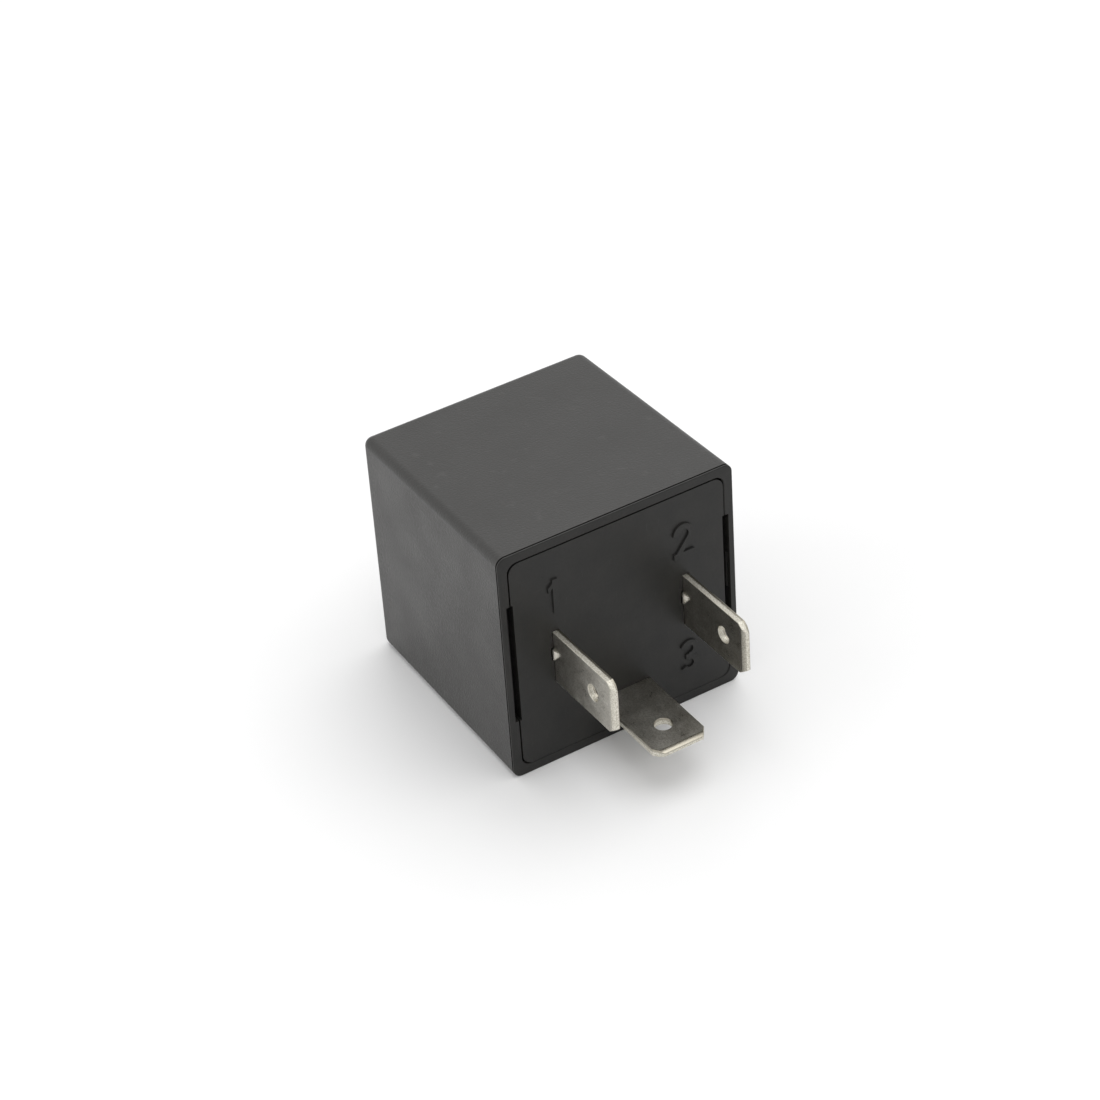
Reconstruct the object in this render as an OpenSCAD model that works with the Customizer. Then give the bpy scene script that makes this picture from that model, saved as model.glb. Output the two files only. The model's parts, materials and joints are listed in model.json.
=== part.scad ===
// Three-blade plug-in flasher relay.
// +Z is up and the blades point along -Y. The origin is the centre of the base's seating face.
// The relay lies on one side of its cover, and its mechanism stands on a board behind the base.

/* [Cover] */
// Width of the cover at its open rim
cover_w = 27.9; // [27.5:0.1:34]
// Height of the cover at its open rim
cover_h = 27.7; // [27.5:0.1:34]
// Depth from the seating face to the outside of the closed end
cover_d = 27.5; // [26:0.1:40]
// Thickness of the cover's walls
cover_wall = 1.1; // [0.9:0.05:1.3]
// How far each side leans in between the rim and the closed end
cover_draft = 0.4; // [0:0.05:0.6]
// Radius of the four long edges
edge_r = 1.0; // [0.8:0.1:2.5]
// Radius round the closed end
end_r = 1.0; // [0.6:0.1:1.3]

/* [Snap slots] */
// Centre of the side slots above the middle of the base
slot_z = 0.55; // [-1:0.05:1]
// Length of each side slot
slot_len = 14.5; // [10:0.1:16]
// Depth of the channel in the cover's wall
slot_cut = 0.45; // [0.3:0.05:0.6]
// Depth of the notch in the base's edge
notch_cut = 0.2; // [0.2:0.05:0.6]
// Height of the snap bead past the notch's floor
bead_out = 0.5; // [0.35:0.05:0.6]
// Gap between the cover's catch and the bead as the cover comes off
snap_gap = 0.06; // [0.04:0.01:0.1]

/* [Base] */
// Thickness of the base plate
base_t = 2.4; // [2:0.1:3.5]
// Gap all round between the base and the cover
base_gap = 0.1; // [0.08:0.01:0.2]
// Radius of the base's corners
base_r = 1.2; // [0.8:0.1:2]
// Height of the skirt behind the plate
skirt_h = 2.2; // [1.5:0.1:3]
// Thickness of the skirt
skirt_t = 1.0; // [0.8:0.1:1.4]
// Width of each raised numeral
mark_w = 2.5; // [2:0.1:3]
// Height of each raised numeral
mark_h = 4.1; // [3:0.1:4.5]
// Width of the numerals' strokes
mark_stroke = 0.65; // [0.5:0.05:0.8]
// How far the numerals stand up
mark_up = 0.2; // [0.1:0.05:0.4]

/* [Blades] */
// Width of a blade
blade_w = 6.3; // [4.8:0.05:7.6]
// Thickness of a blade
blade_t = 0.8; // [0.6:0.02:1]
// Length of a blade from the seating face to its tip
blade_len = 11.0; // [9:0.1:13]
// Distance between the two upright blades
blade_pitch = 15.7; // [15:0.1:17]
// Height of the upright blades' centre line
upright_z = -0.6; // [-1:0.05:0]
// Sideways place of the level blade
level_x = -0.25; // [-0.5:0.05:0.5]
// Height of the level blade
level_z = -8.9; // [-9.3:0.05:-8.5]
// Diameter of the detent hole
hole_d = 1.9; // [1.6:0.05:2.4]
// Distance from the tip to the centre of the detent hole
hole_back = 3.8; // [2.6:0.05:4.4]
// Width taken off each corner of the tip
corner_cut = 0.8; // [0.3:0.05:1.5]
// Length of each corner cut
corner_len = 1.1; // [0.5:0.05:2]
// Thickness taken off each face at the tip
tip_bevel = 0.2; // [0.1:0.05:0.25]
// Length of the bevel at the tip
bevel_len = 0.6; // [0.3:0.05:1.2]
// Width of the tail that goes through the board
tail_w = 2.0; // [1.4:0.1:2.4]
// Gap round a blade in the base
blade_gap = 0.04; // [0.02:0.01:0.1]
// Width of the shoulder past each side of a blade
shoulder_out = 0.8; // [0.4:0.1:1.2]
// Height of the shoulder
shoulder_h = 1.0; // [0.6:0.1:1.5]
// Length of the lanced tang at an upright blade's root
lance_len = 1.3; // [0.6:0.1:1.6]
// Height of the tang above the blade's centre line
lance_up = 0.4; // [0:0.1:0.8]
// Width of the lanced tang
lance_w = 1.4; // [1:0.1:2]
// How far the tang stands off the blade
lance_out = 0.25; // [0.15:0.05:0.5]

/* [Board] */
// Height of the board's posts above the base plate
board_lift = 3.6; // [3:0.1:4.5]
// Thickness of the board
board_t = 1.6; // [0.8:0.1:2.4]
// Gap between the board's edge and the cover's wall
board_gap = 1.05; // [0.8:0.05:1.4]
// Radius of the posts that carry the board
post_r = 1.0; // [0.8:0.1:1.3]
// Radius of the pins that locate the board
post_pin_r = 0.5; // [0.4:0.05:0.7]
// Gap round what goes through the board
board_hole_gap = 0.12; // [0.08:0.02:0.2]
// How far leads reach out below the board
lead_below = 0.9; // [0.6:0.1:1.4]
// Radius of a solder joint
solder_r = 0.85; // [0.6:0.05:0.95]

/* [Magnet] */
// Core's distance from the left edge of the board
magnet_in_x = 8.0; // [7.9:0.1:8.4]
// Core's distance from the lower edge of the board
magnet_in_z = 6.2; // [5.6:0.1:6.3]
// Radius of the core
core_r = 2.0; // [1.5:0.1:2.4]
// Radius of the core's pole face
pole_r = 3.6; // [2.6:0.1:4.2]
// Thickness of the pole disc
pole_t = 0.8; // [0.5:0.1:1.2]
// Length of the bobbin
coil_len = 9.6; // [8:0.1:11]
// Side of the bobbin's square flanges
flange_side = 10.4; // [9.6:0.1:10.6]
// Thickness of the bobbin's flanges
flange_t = 0.8; // [0.5:0.1:1.2]
// Wall of the bobbin's tube
bobbin_wall = 0.7; // [0.5:0.05:1]
// Radius of the winding
winding_r = 4.85; // [4:0.05:5]
// Thickness of the yoke's steel
yoke_t = 1.2; // [1:0.1:1.5]
// Width of the yoke
yoke_w = 8.0; // [6:0.1:8.2]
// Gap between the yoke's upright and the bobbin
yoke_gap = 0.2; // [0.1:0.05:0.4]
// Thickness of the coil pins
coil_pin_t = 0.6; // [0.4:0.05:0.7]

/* [Armature and contacts] */
// Thickness of the armature
armature_t = 1.0; // [0.8:0.1:1.4]
// Width of the armature
armature_w = 7.6; // [6:0.1:7.8]
// Angle from the resting, open place to the closed one
armature_swing = 2.5; // [1.5:0.1:4]
// Gap left above the pole face when closed
residual_gap = 0.08; // [0.06:0.01:0.15]
// Radius of the armature's pivot bead
pivot_r = 0.35; // [0.25:0.05:0.4]
// Running gap round the pivot bead
pivot_gap = 0.05; // [0.03:0.01:0.08]
// Thickness of the leaf springs
leaf_t = 0.2; // [0.15:0.05:0.3]
// Width of the contact leaf
leaf_w = 3.2; // [2.4:0.1:4]
// Radius of the contacts
contact_r = 0.95; // [0.7:0.05:1.1]
// Height of the moving contact's head
moving_head = 0.7; // [0.5:0.05:0.9]
// Height of the fixed contact's head
fixed_head = 0.6; // [0.4:0.05:0.8]
// Gap left between the contacts when closed
contact_rest = 0.05; // [0.04:0.01:0.1]
// Thickness of the contact strips
strip_t = 0.5; // [0.4:0.05:0.6]
// Gap between the back stop and the leaf when open
stop_gap = 0.08; // [0.06:0.01:0.2]

/* [Electronic parts] */
// Radius of the electrolytic capacitor's sleeve
cap_r = 4.0; // [3:0.05:4.05]
// Height of the electrolytic capacitor
cap_h = 11.5; // [9:0.1:14]
// Thickness of the capacitor's sleeve
sleeve_t = 0.15; // [0.1:0.05:0.2]
// Distance between the capacitor's leads
cap_pitch = 3.5; // [2.5:0.1:4]
// Length of the timer chip
chip_len = 9.4; // [8.8:0.1:10]
// Width of the timer chip's body
chip_w = 6.3; // [6:0.05:6.5]
// Thickness of the timer chip's body
chip_t = 3.3; // [2.8:0.1:3.6]
// Radius of a resistor's body
resistor_r = 1.1; // [0.8:0.05:1.15]
// Length of a resistor's body
resistor_len = 5.0; // [3.6:0.1:5.4]
// Distance between a resistor's legs
resistor_span = 6.6; // [6.4:0.1:6.8]
// Radius of the diode's body
diode_r = 0.85; // [0.7:0.05:0.9]
// Length of the diode's body
diode_len = 3.6; // [3:0.1:4.5]
// Distance between the diode's legs
diode_span = 7.0; // [6:0.1:7.4]
// Radius of the ceramic capacitor's disc
disc_r = 2.3; // [1.8:0.1:2.6]
// Thickness of the ceramic capacitor's disc
disc_t = 1.8; // [1.2:0.1:2]
// Radius of the thin leads
lead_r = 0.27; // [0.2:0.01:0.3]
// Radius of the shunt wire
shunt_r = 0.4; // [0.3:0.05:0.5]
// Height of the shunt wire's loop above the board
shunt_h = 4.0; // [2.5:0.1:5]

/* [Hidden] */
$fn = 48;

// Cavity, base and board
cavity_w = cover_w - 2 * cover_wall;
cavity_h = cover_h - 2 * cover_wall;
base_w = cavity_w - 2 * base_gap;
base_h = cavity_h - 2 * base_gap;
board_w = cavity_w - 2 * board_gap;
board_h = cavity_h - 2 * board_gap;
board_y = base_t + board_lift;
board_top = board_y + board_t;
post_in = 0.95;
cut = 1;

// Blade places
upright_x = blade_pitch / 2;
tail_end = board_top + 0.8;
tail_1_z = upright_z + blade_w / 2 - tail_w / 2;
tail_2_z = upright_z + 1.2;
tail_3_x = level_x + blade_w / 2 - tail_w / 2;
left_mark = [-upright_x + 0.2, upright_z + 7.55];
right_mark = [upright_x - 0.15, upright_z + 7.6];
lower_mark = [upright_x - 0.05, level_z + 1.0];

// Magnet
magnet_x = -board_w / 2 + magnet_in_x;
magnet_z = -board_h / 2 + magnet_in_z;
yoke_x1 = magnet_x - flange_side / 2 - yoke_gap;
yoke_x0 = yoke_x1 - yoke_t;
yoke_foot = core_r + 0.6;
coil_y0 = board_top + yoke_t;
coil_y1 = coil_y0 + coil_len;
pole_y = coil_y1 + pole_t;
tube_r = core_r + 0.05;
coil_pin_z = magnet_z + flange_side / 2 - 0.6;
coil_pin_in = flange_side / 2 - 1.6;

// Armature, hinged on the yoke's top edge
hinge_x = (yoke_x0 + yoke_x1) / 2;
hinge_y = pole_y + residual_gap;
armature_x0 = yoke_x0 - 0.25;
armature_x1 = magnet_x + flange_side / 2 - 0.3;
leaf_x0 = hinge_x + 2.2;
contact_x = magnet_x + flange_side / 2 + 0.75 + contact_r;
leaf_x1 = contact_x + contact_r + 0.15;
leaf_y = hinge_y + armature_t;
moving_y = leaf_y - moving_head;
fixed_y = moving_y - contact_rest;
bracket_y = fixed_y - fixed_head;
bracket_x = leaf_x1 + 0.3;
stop_x = bracket_x + strip_t + 0.4;
stop_y = leaf_y + leaf_t + (leaf_x1 - hinge_x) * sin(armature_swing) + stop_gap;
rivet_x = [leaf_x0 + 1.2, leaf_x0 + 3.6];

// Electronic parts
cap_x = board_w / 2 - cap_r - 0.1;
cap_z = board_h / 2 - cap_r - 1.0;
cap_y0 = board_top + 0.3;
can_r = cap_r - sleeve_t;
bung_h = 1.2;
chip_x = -board_w / 2 + 7.4;
chip_z = board_h / 2 - 4.4;
chip_row = 7.62;
chip_step = 2.54;
chip_y0 = board_top + 0.5;
leg_t = 0.25;
leg_w = 0.5;
leg_shoulder_w = 1.3;
resistor_x = [board_w / 2 - 3.9, board_w / 2 - 1.4];
resistor_z = -board_h / 2 + post_in + post_r + solder_r + resistor_span / 2;
diode_x = chip_x + chip_len / 2 + 1.55;
disc_x = -board_w / 2 + 1.3;
disc_y = board_top + 0.9 + disc_r;
disc_pitch = 2.54;
shunt_x = [upright_x - 4.2, upright_x - 1.5];
shunt_z = upright_z + 1.9;

// Places where round leads go through the board: x, z and the lead's radius
coil_pads = [for (s = [-1, 1]) [magnet_x + s * coil_pin_in, coil_pin_z, coil_pin_t * 0.72]];
chip_pads = [for (i = [0:3], s = [-1, 1])
    [chip_x + (i - 1.5) * chip_step, chip_z + s * chip_row / 2, leg_w * 0.6]];
cap_pads = [for (s = [-1, 1]) [cap_x, cap_z + s * cap_pitch / 2, lead_r]];
resistor_pads = [for (x = resistor_x, s = [-1, 1]) [x, resistor_z + s * resistor_span / 2, lead_r]];
diode_pads = [for (s = [-1, 1]) [diode_x, chip_z + s * diode_span / 2, lead_r]];
disc_pads = [for (s = [-1, 1]) [disc_x, chip_z + s * disc_pitch / 2, lead_r]];
shunt_pads = [for (x = shunt_x) [x, shunt_z, shunt_r]];
pads = concat(coil_pads, chip_pads, cap_pads, resistor_pads, diode_pads, disc_pads, shunt_pads);
strip_tab = 1.6;
strip_pads = [bracket_x + strip_t / 2, stop_x + strip_t / 2];
post_places = [for (sx = [-1, 1], sz = [-1, 1])
    [sx * (board_w / 2 - post_in), sz * (board_h / 2 - post_in)]];

// Extrusions: a flat shape drawn in (x, z), (x, y) or (y, z), carried from one place to another
module along_y(from, to) { translate([0, to, 0]) rotate([90, 0, 0]) linear_extrude(to - from) children(); }
module along_z(from, to) { translate([0, 0, from]) linear_extrude(to - from) children(); }
module along_x(from, to) { translate([from, 0, 0]) rotate([90, 0, 90]) linear_extrude(to - from) children(); }
module round_y(x, y, z) { translate([x, y, z]) rotate([-90, 0, 0]) rotate_extrude() children(); }

module rounded_rect(w, h, r) {
    square([w - 2 * r, h], center = true);
    square([w, h - 2 * r], center = true);
    for (sx = [-1, 1], sz = [-1, 1]) {
        translate([sx * (w / 2 - r), sz * (h / 2 - r)]) circle(r);
    }
}

// A flat strip of one thickness that follows a bent path
module strip_2d(path, t) {
    for (i = [0:len(path) - 2]) {
        step = path[i + 1] - path[i];
        translate(path[i]) rotate(atan2(step[1], step[0])) {
            translate([0, -t / 2]) square([norm(step), t]);
        }
    }
    for (i = [1:len(path) - 2]) {
        translate(path[i]) circle(t / 2);
    }
}

// A thin wire with two legs through the board and a level run along Z at height top
module staple(x, z, span, top) {
    for (s = [-1, 1]) {
        along_y(board_y - lead_below, top) translate([x, z + s * span / 2]) circle(lead_r);
        translate([x, top, z + s * span / 2]) sphere(lead_r);
    }
    along_z(z - span / 2, z + span / 2) translate([x, top]) circle(lead_r);
}

// The cover's solid form, leaning in towards the closed end
module cover_form(w, h, d, long_r, round_r, from) {
    lean = cover_draft * from / cover_d;
    hull() {
        for (sx = [-1, 1], sz = [-1, 1]) {
            translate([sx * (w / 2 - lean - long_r), from, sz * (h / 2 - lean - long_r)]) {
                rotate([-90, 0, 0]) cylinder(r = long_r, h = 0.01, $fn = 32);
            }
            translate([sx * (w / 2 - cover_draft - long_r), d - round_r, sz * (h / 2 - cover_draft - long_r)]) {
                rotate([-90, 0, 0]) corner_disc(long_r, round_r);
            }
        }
    }
}

module corner_disc(long_r, round_r) {
    rotate_extrude($fn = 32) {
        intersection() {
            translate([long_r - round_r, 0]) circle(round_r, $fn = 32);
            translate([0, -round_r]) square([long_r, 2 * round_r]);
        }
    }
}

module cover() {
    inner_r = base_r - base_gap;
    channel = cavity_w / 2 + slot_cut;
    catch_reach = base_w / 2 - notch_cut + bead_out + snap_gap;
    color("#3c3c3d") {
        difference() {
            cover_form(cover_w, cover_h, cover_d, edge_r, end_r, 0);
            cover_form(cavity_w, cavity_h, cover_d - cover_wall, inner_r, inner_r * 0.8, -cut);
            along_y(-cut, 4.6) translate([0, slot_z]) square([2 * channel, slot_len], center = true);
        }
        for (s = [-1, 1]) {
            along_y(0.5, 0.9) translate([s * (catch_reach + channel + 0.2) / 2, slot_z]) {
                square([channel + 0.2 - catch_reach, slot_len * 0.3], center = true);
            }
        }
    }
}

// A ring with the part between two angles left out
module bowl(r, from, to) {
    reach = 2 * r;
    middle = (from + to) / 2;
    difference() {
        circle(r);
        circle(r - mark_stroke);
        polygon([
            [0, 0], [reach * cos(from), reach * sin(from)],
            [reach * cos(middle), reach * sin(middle)], [reach * cos(to), reach * sin(to)]
        ]);
    }
}

module numeral_1() {
    half = mark_h / 2;
    flag = mark_w / 3;
    translate([-mark_stroke / 2, -half]) square([mark_stroke, mark_h]);
    polygon([
        [0, half - 0.1], [-flag, half - flag], [-flag, half - flag - mark_stroke], [0, half - mark_stroke]
    ]);
}

module numeral_2() {
    r = mark_w / 2;
    half = mark_h / 2;
    side = [cos(-20), sin(-20)];
    centre = [0, half - r];
    foot = mark_stroke / 2 - half;
    translate(centre) bowl(r, 180, 330);
    polygon([
        centre + (r - 0.05) * side, centre + (r - mark_stroke + 0.05) * side,
        [0.05 - r, foot], [mark_stroke * 1.3 - r, foot]
    ]);
    translate([-r, -half]) square([mark_w, mark_stroke]);
}

module numeral_3() {
    overlap = mark_stroke * 0.6;
    r = (mark_h + overlap) / 4;
    rise = (mark_h - overlap) / 4;
    translate([0, rise]) bowl(r, 155, 262);
    translate([0, -rise]) bowl(r, 98, 205);
    translate([-r * 0.4, -mark_stroke / 2]) square([r * 0.7, mark_stroke]);
}

// The slot that a blade stands in
module blade_slot() {
    square([blade_w + 2 * blade_gap, blade_t + 2 * blade_gap], center = true);
}

// The notch next to an upright blade that its tang passes through
module tang_notch() {
    notch_w = lance_w + 0.2;
    translate([lance_up - notch_w / 2, 0]) square([notch_w, blade_t / 2 + lance_out + 0.05]);
}

module base() {
    color("#333334") {
        difference() {
            union() {
                along_y(0, base_t) rounded_rect(base_w, base_h, base_r);
                difference() {
                    along_y(0, base_t + skirt_h) rounded_rect(base_w, base_h, base_r);
                    along_y(base_t, base_t + skirt_h + cut) {
                        rounded_rect(base_w - 2 * skirt_t, base_h - 2 * skirt_t, base_r / 2);
                    }
                }
                for (p = post_places) {
                    along_y(base_t - 0.1, board_y) translate(p) circle(post_r);
                    along_y(base_t - 0.1, board_top + 0.3) translate(p) circle(post_pin_r);
                }
                along_y(-mark_up, 0.1) {
                    translate(left_mark) numeral_1();
                    translate(right_mark) numeral_2();
                    translate(lower_mark) numeral_3();
                }
            }
            for (s = [-1, 1]) {
                along_y(-cut, base_t + skirt_h + cut) translate([s * base_w / 2, slot_z]) {
                    square([2 * notch_cut, slot_len], center = true);
                }
                along_y(-cut, base_t + cut) translate([s * upright_x, upright_z]) rotate(90) {
                    blade_slot();
                    tang_notch();
                }
            }
            along_y(-cut, base_t + cut) translate([level_x, level_z]) blade_slot();
        }
        for (s = [-1, 1]) {
            along_y(1.2, 2.2) translate([s * (base_w / 2 - notch_cut - 0.1 + bead_out / 2), slot_z]) {
                square([bead_out + 0.2, slot_len - 1.2], center = true);
            }
        }
    }
}

// A terminal drawn flat: the blade's width along X, its thickness along Z, its tip towards -Y
module terminal_form(tail_x) {
    half = blade_w / 2;
    wide = half + shoulder_out;
    tail_0 = tail_x - tail_w / 2;
    tail_1 = tail_x + tail_w / 2;
    shoulder = base_t + shoulder_h;
    difference() {
        intersection() {
            along_z(-blade_t / 2, blade_t / 2) {
                polygon([
                    [-half, base_t], [-half, corner_len - blade_len], [corner_cut - half, -blade_len],
                    [half - corner_cut, -blade_len], [half, corner_len - blade_len], [half, base_t],
                    [wide, base_t], [wide, shoulder], [tail_1, shoulder], [tail_1, tail_end],
                    [tail_0, tail_end], [tail_0, shoulder], [-wide, shoulder], [-wide, base_t]
                ]);
            }
            along_x(-wide - cut, wide + cut) {
                polygon([
                    [tail_end, blade_t / 2], [bevel_len - blade_len, blade_t / 2],
                    [-blade_len, blade_t / 2 - tip_bevel], [-blade_len, tip_bevel - blade_t / 2],
                    [bevel_len - blade_len, -blade_t / 2], [tail_end, -blade_t / 2]
                ]);
            }
        }
        translate([0, hole_back - blade_len, -cut]) cylinder(d = hole_d, h = 2 * cut);
    }
}

// The tang cut from the blade's root: a three-cornered wedge that stands up next to the base
module lance() {
    root = -0.1;
    points = [
        [-lance_w / 2, root, 0], [lance_w / 2, root, 0], [lance_w * 0.45, root - lance_len, 0],
        [-lance_w / 2, root, lance_out], [lance_w / 2, root, lance_out]
    ];
    polyhedron(points, [[0, 1, 2], [3, 4, 1, 0], [2, 4, 3], [0, 2, 3], [1, 4, 2]]);
}

module upright_terminal(x, tail_z) {
    color("#b9b4aa") translate([x, 0, upright_z]) rotate([0, -90, 0]) {
        terminal_form(tail_z - upright_z);
        translate([lance_up, 0, blade_t / 2]) lance();
    }
}

module terminal_1() {
    upright_terminal(-upright_x, tail_1_z);
}

module terminal_2() {
    upright_terminal(upright_x, tail_2_z);
}

module terminal_3() {
    color("#b9b4aa") translate([level_x, 0, level_z]) terminal_form(tail_3_x - level_x);
}

// Footprints of the three tails, grown by a gap
module tail_shapes(gap) {
    across = blade_t + 2 * gap;
    wide = tail_w + 2 * gap;
    translate([-upright_x, tail_1_z]) square([across, wide], center = true);
    translate([upright_x, tail_2_z]) square([across, wide], center = true);
    translate([tail_3_x, level_z]) square([wide, across], center = true);
}

module board() {
    color("#b58a4a") difference() {
        along_y(board_y, board_top) square([board_w, board_h], center = true);
        along_y(board_y - cut, board_top + cut) {
            for (p = pads) translate([p[0], p[1]]) circle(p[2] + board_hole_gap);
            for (p = post_places) translate(p) circle(post_pin_r + board_hole_gap);
            for (x = strip_pads) {
                translate([x, magnet_z]) square([strip_t + 2 * board_hole_gap, strip_tab + 2 * board_hole_gap], center = true);
            }
            tail_shapes(board_hole_gap);
        }
    }
}

module solder_joints() {
    color("#c9ccd0") difference() {
        union() {
            for (p = pads) {
                round_y(p[0], board_y, p[1]) polygon([[0, 0], [solder_r, 0], [p[2] + 0.15, -0.6], [0, -0.6]]);
            }
            for (p = [[-upright_x, tail_1_z], [upright_x, tail_2_z], [tail_3_x, level_z]]) {
                round_y(p[0], board_y, p[1]) {
                    polygon([[0, 0], [tail_w * 0.75, 0], [tail_w * 0.6, -0.7], [0, -0.7]]);
                }
            }
            for (x = strip_pads) {
                along_y(board_y - 0.5, board_y) translate([x, magnet_z]) {
                    square([strip_t + 0.35, strip_tab + 0.6], center = true);
                }
            }
        }
        along_y(board_y - cut, board_y + cut) {
            for (p = pads) translate([p[0], p[1]]) circle(p[2] + 0.01);
            for (x = strip_pads) translate([x, magnet_z]) {
                square([strip_t + 0.02, strip_tab + 0.02], center = true);
            }
            tail_shapes(0.01);
        }
    }
}

module yoke() {
    color("#8d8f92") difference() {
        along_z(magnet_z - yoke_w / 2, magnet_z + yoke_w / 2) {
            polygon([
                [yoke_x0, board_top], [magnet_x + yoke_foot, board_top], [magnet_x + yoke_foot, coil_y0],
                [yoke_x1, coil_y0], [yoke_x1, pole_y], [yoke_x0, pole_y]
            ]);
        }
        along_y(board_top - cut, coil_y0 + cut) translate([magnet_x, magnet_z]) circle(core_r + 0.03);
        along_z(magnet_z - yoke_w / 2 - cut, magnet_z + yoke_w / 2 + cut) {
            translate([hinge_x, hinge_y]) circle(pivot_r + pivot_gap);
        }
    }
}

module core() {
    color("#9a9c9f") {
        along_y(board_top, coil_y1) translate([magnet_x, magnet_z]) circle(core_r);
        along_y(coil_y1, pole_y) translate([magnet_x, magnet_z]) circle(pole_r);
    }
}

module bobbin() {
    color("#26282b") translate([magnet_x, 0, magnet_z]) difference() {
        union() {
            for (y = [coil_y0, coil_y1 - flange_t]) {
                along_y(y, y + flange_t) rounded_rect(flange_side, flange_side, 0.8);
            }
            along_y(coil_y0, coil_y1) circle(tube_r + bobbin_wall);
        }
        along_y(coil_y0 - cut, coil_y1 + cut) circle(tube_r);
        for (s = [-1, 1]) {
            along_y(coil_y0 - cut, coil_y0 + flange_t + cut) {
                translate([s * coil_pin_in, coil_pin_z - magnet_z]) square(coil_pin_t, center = true);
            }
        }
    }
}

module winding() {
    color("#a8552a") translate([magnet_x, 0, magnet_z]) {
        along_y(coil_y0 + flange_t, coil_y1 - flange_t) difference() {
            circle(winding_r);
            circle(tube_r + bobbin_wall);
        }
    }
}

module coil_pins() {
    color("#c9b88a") for (p = coil_pads) {
        along_y(board_y - lead_below, coil_y0 + flange_t + 1.2) {
            translate([p[0], p[1]]) square(coil_pin_t, center = true);
        }
    }
}

// What swings is drawn closed and turned to its resting, open place
module opened() {
    translate([hinge_x, hinge_y, 0]) rotate([0, 0, armature_swing]) {
        translate([-hinge_x, -hinge_y, 0]) children();
    }
}

module armature() {
    color("#94969a") opened() difference() {
        union() {
            along_z(magnet_z - armature_w / 2, magnet_z + armature_w / 2) {
                translate([armature_x0, hinge_y]) square([armature_x1 - armature_x0, armature_t]);
                translate([hinge_x, hinge_y]) circle(pivot_r);
            }
        }
        for (x = rivet_x) {
            along_y(hinge_y - cut, leaf_y + cut) translate([x, magnet_z]) circle(0.5);
        }
    }
}

module contact_spring() {
    color("#c08a4a") opened() along_y(leaf_y, leaf_y + leaf_t) difference() {
        translate([leaf_x0, magnet_z - leaf_w / 2]) square([leaf_x1 - leaf_x0, leaf_w]);
        for (x = rivet_x) translate([x, magnet_z]) circle(0.5);
        translate([contact_x, magnet_z]) circle(0.5);
    }
}

module armature_rivets() {
    color("#c2a96b") opened() for (x = rivet_x) {
        along_y(hinge_y + 0.1, leaf_y + leaf_t) translate([x, magnet_z]) circle(0.5);
        round_y(x, leaf_y + leaf_t, magnet_z) polygon([[0, 0], [0.9, 0], [0.75, 0.25], [0.4, 0.4], [0, 0.4]]);
    }
}

module moving_contact() {
    color("#d3d3d0") opened() {
        along_y(moving_y, leaf_y) translate([contact_x, magnet_z]) circle(contact_r);
        along_y(leaf_y, leaf_y + leaf_t) translate([contact_x, magnet_z]) circle(0.5);
    }
}

module hinge_spring() {
    back = yoke_x0 - leaf_t / 2;
    out = armature_x0 - 0.25 - leaf_t / 2;
    over = leaf_y + 0.25;
    color("#c08a4a") along_z(magnet_z - 2, magnet_z + 2) strip_2d([
        [back, pole_y - 7], [back, pole_y - 0.9], [out, pole_y - 0.1],
        [out, over - 0.2], [out + 0.4, over + 0.2], [hinge_x + 1.2, over]
    ], leaf_t);
}

module hinge_rivets() {
    color("#c2a96b") for (s = [-1, 1]) {
        along_x(yoke_x0 - leaf_t - 0.4, yoke_x0 - leaf_t) translate([pole_y - 5.6, magnet_z + s * 1.1]) circle(0.7);
    }
}

// A strip that stands on the board, bends over at height y and reaches back to x = reach
module contact_strip(x, y, reach, w) {
    along_z(magnet_z - w / 2, magnet_z + w / 2) {
        translate([x, board_top]) square([strip_t, y + strip_t - board_top]);
        translate([reach, y]) square([x + strip_t - reach, strip_t]);
    }
    along_y(board_y - lead_below, board_top) {
        translate([x + strip_t / 2, magnet_z]) square([strip_t, strip_tab], center = true);
    }
}

module contact_bracket() {
    color("#c9a557") difference() {
        contact_strip(bracket_x, bracket_y - strip_t, contact_x - contact_r - 0.1, leaf_w);
        along_y(bracket_y - strip_t - cut, bracket_y + cut) translate([contact_x, magnet_z]) circle(0.5);
    }
}

module fixed_contact() {
    color("#d3d3d0") {
        along_y(bracket_y, fixed_y) translate([contact_x, magnet_z]) circle(contact_r);
        along_y(bracket_y - strip_t - 0.2, bracket_y) translate([contact_x, magnet_z]) circle(0.5);
    }
}

module back_stop() {
    color("#c9a557") contact_strip(stop_x, stop_y, contact_x - 0.4, leaf_w);
}

module capacitor_can() {
    top = cap_h;
    color("#c4c6c8") difference() {
        round_y(cap_x, cap_y0, cap_z) {
            polygon([
                [0, 0], [can_r, 0], [can_r, 1.6], [can_r - 0.35, 1.9], [can_r, 2.2],
                [can_r, top - 0.3], [can_r - 0.3, top], [0, top]
            ]);
        }
        along_y(cap_y0 - cut, cap_y0 + bung_h) translate([cap_x, cap_z]) circle(can_r - 0.4);
        for (a = [0, 120, 240]) {
            along_y(cap_y0 + top - 0.15, cap_y0 + top + cut) translate([cap_x, cap_z]) rotate(a) {
                translate([0, -0.12]) square([2.4, 0.24]);
            }
        }
    }
}

module capacitor_sleeve() {
    color("#20242c") round_y(cap_x, cap_y0, cap_z) {
        polygon([
            [can_r + 0.01, 0.05], [cap_r, 0.05], [cap_r, cap_h - 0.2], [cap_r - 0.35, cap_h + sleeve_t],
            [cap_r - 1.1, cap_h + sleeve_t], [cap_r - 1.1, cap_h + 0.01], [can_r - 0.29, cap_h + 0.01],
            [can_r + 0.01, cap_h - 0.29]
        ]);
    }
}

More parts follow.
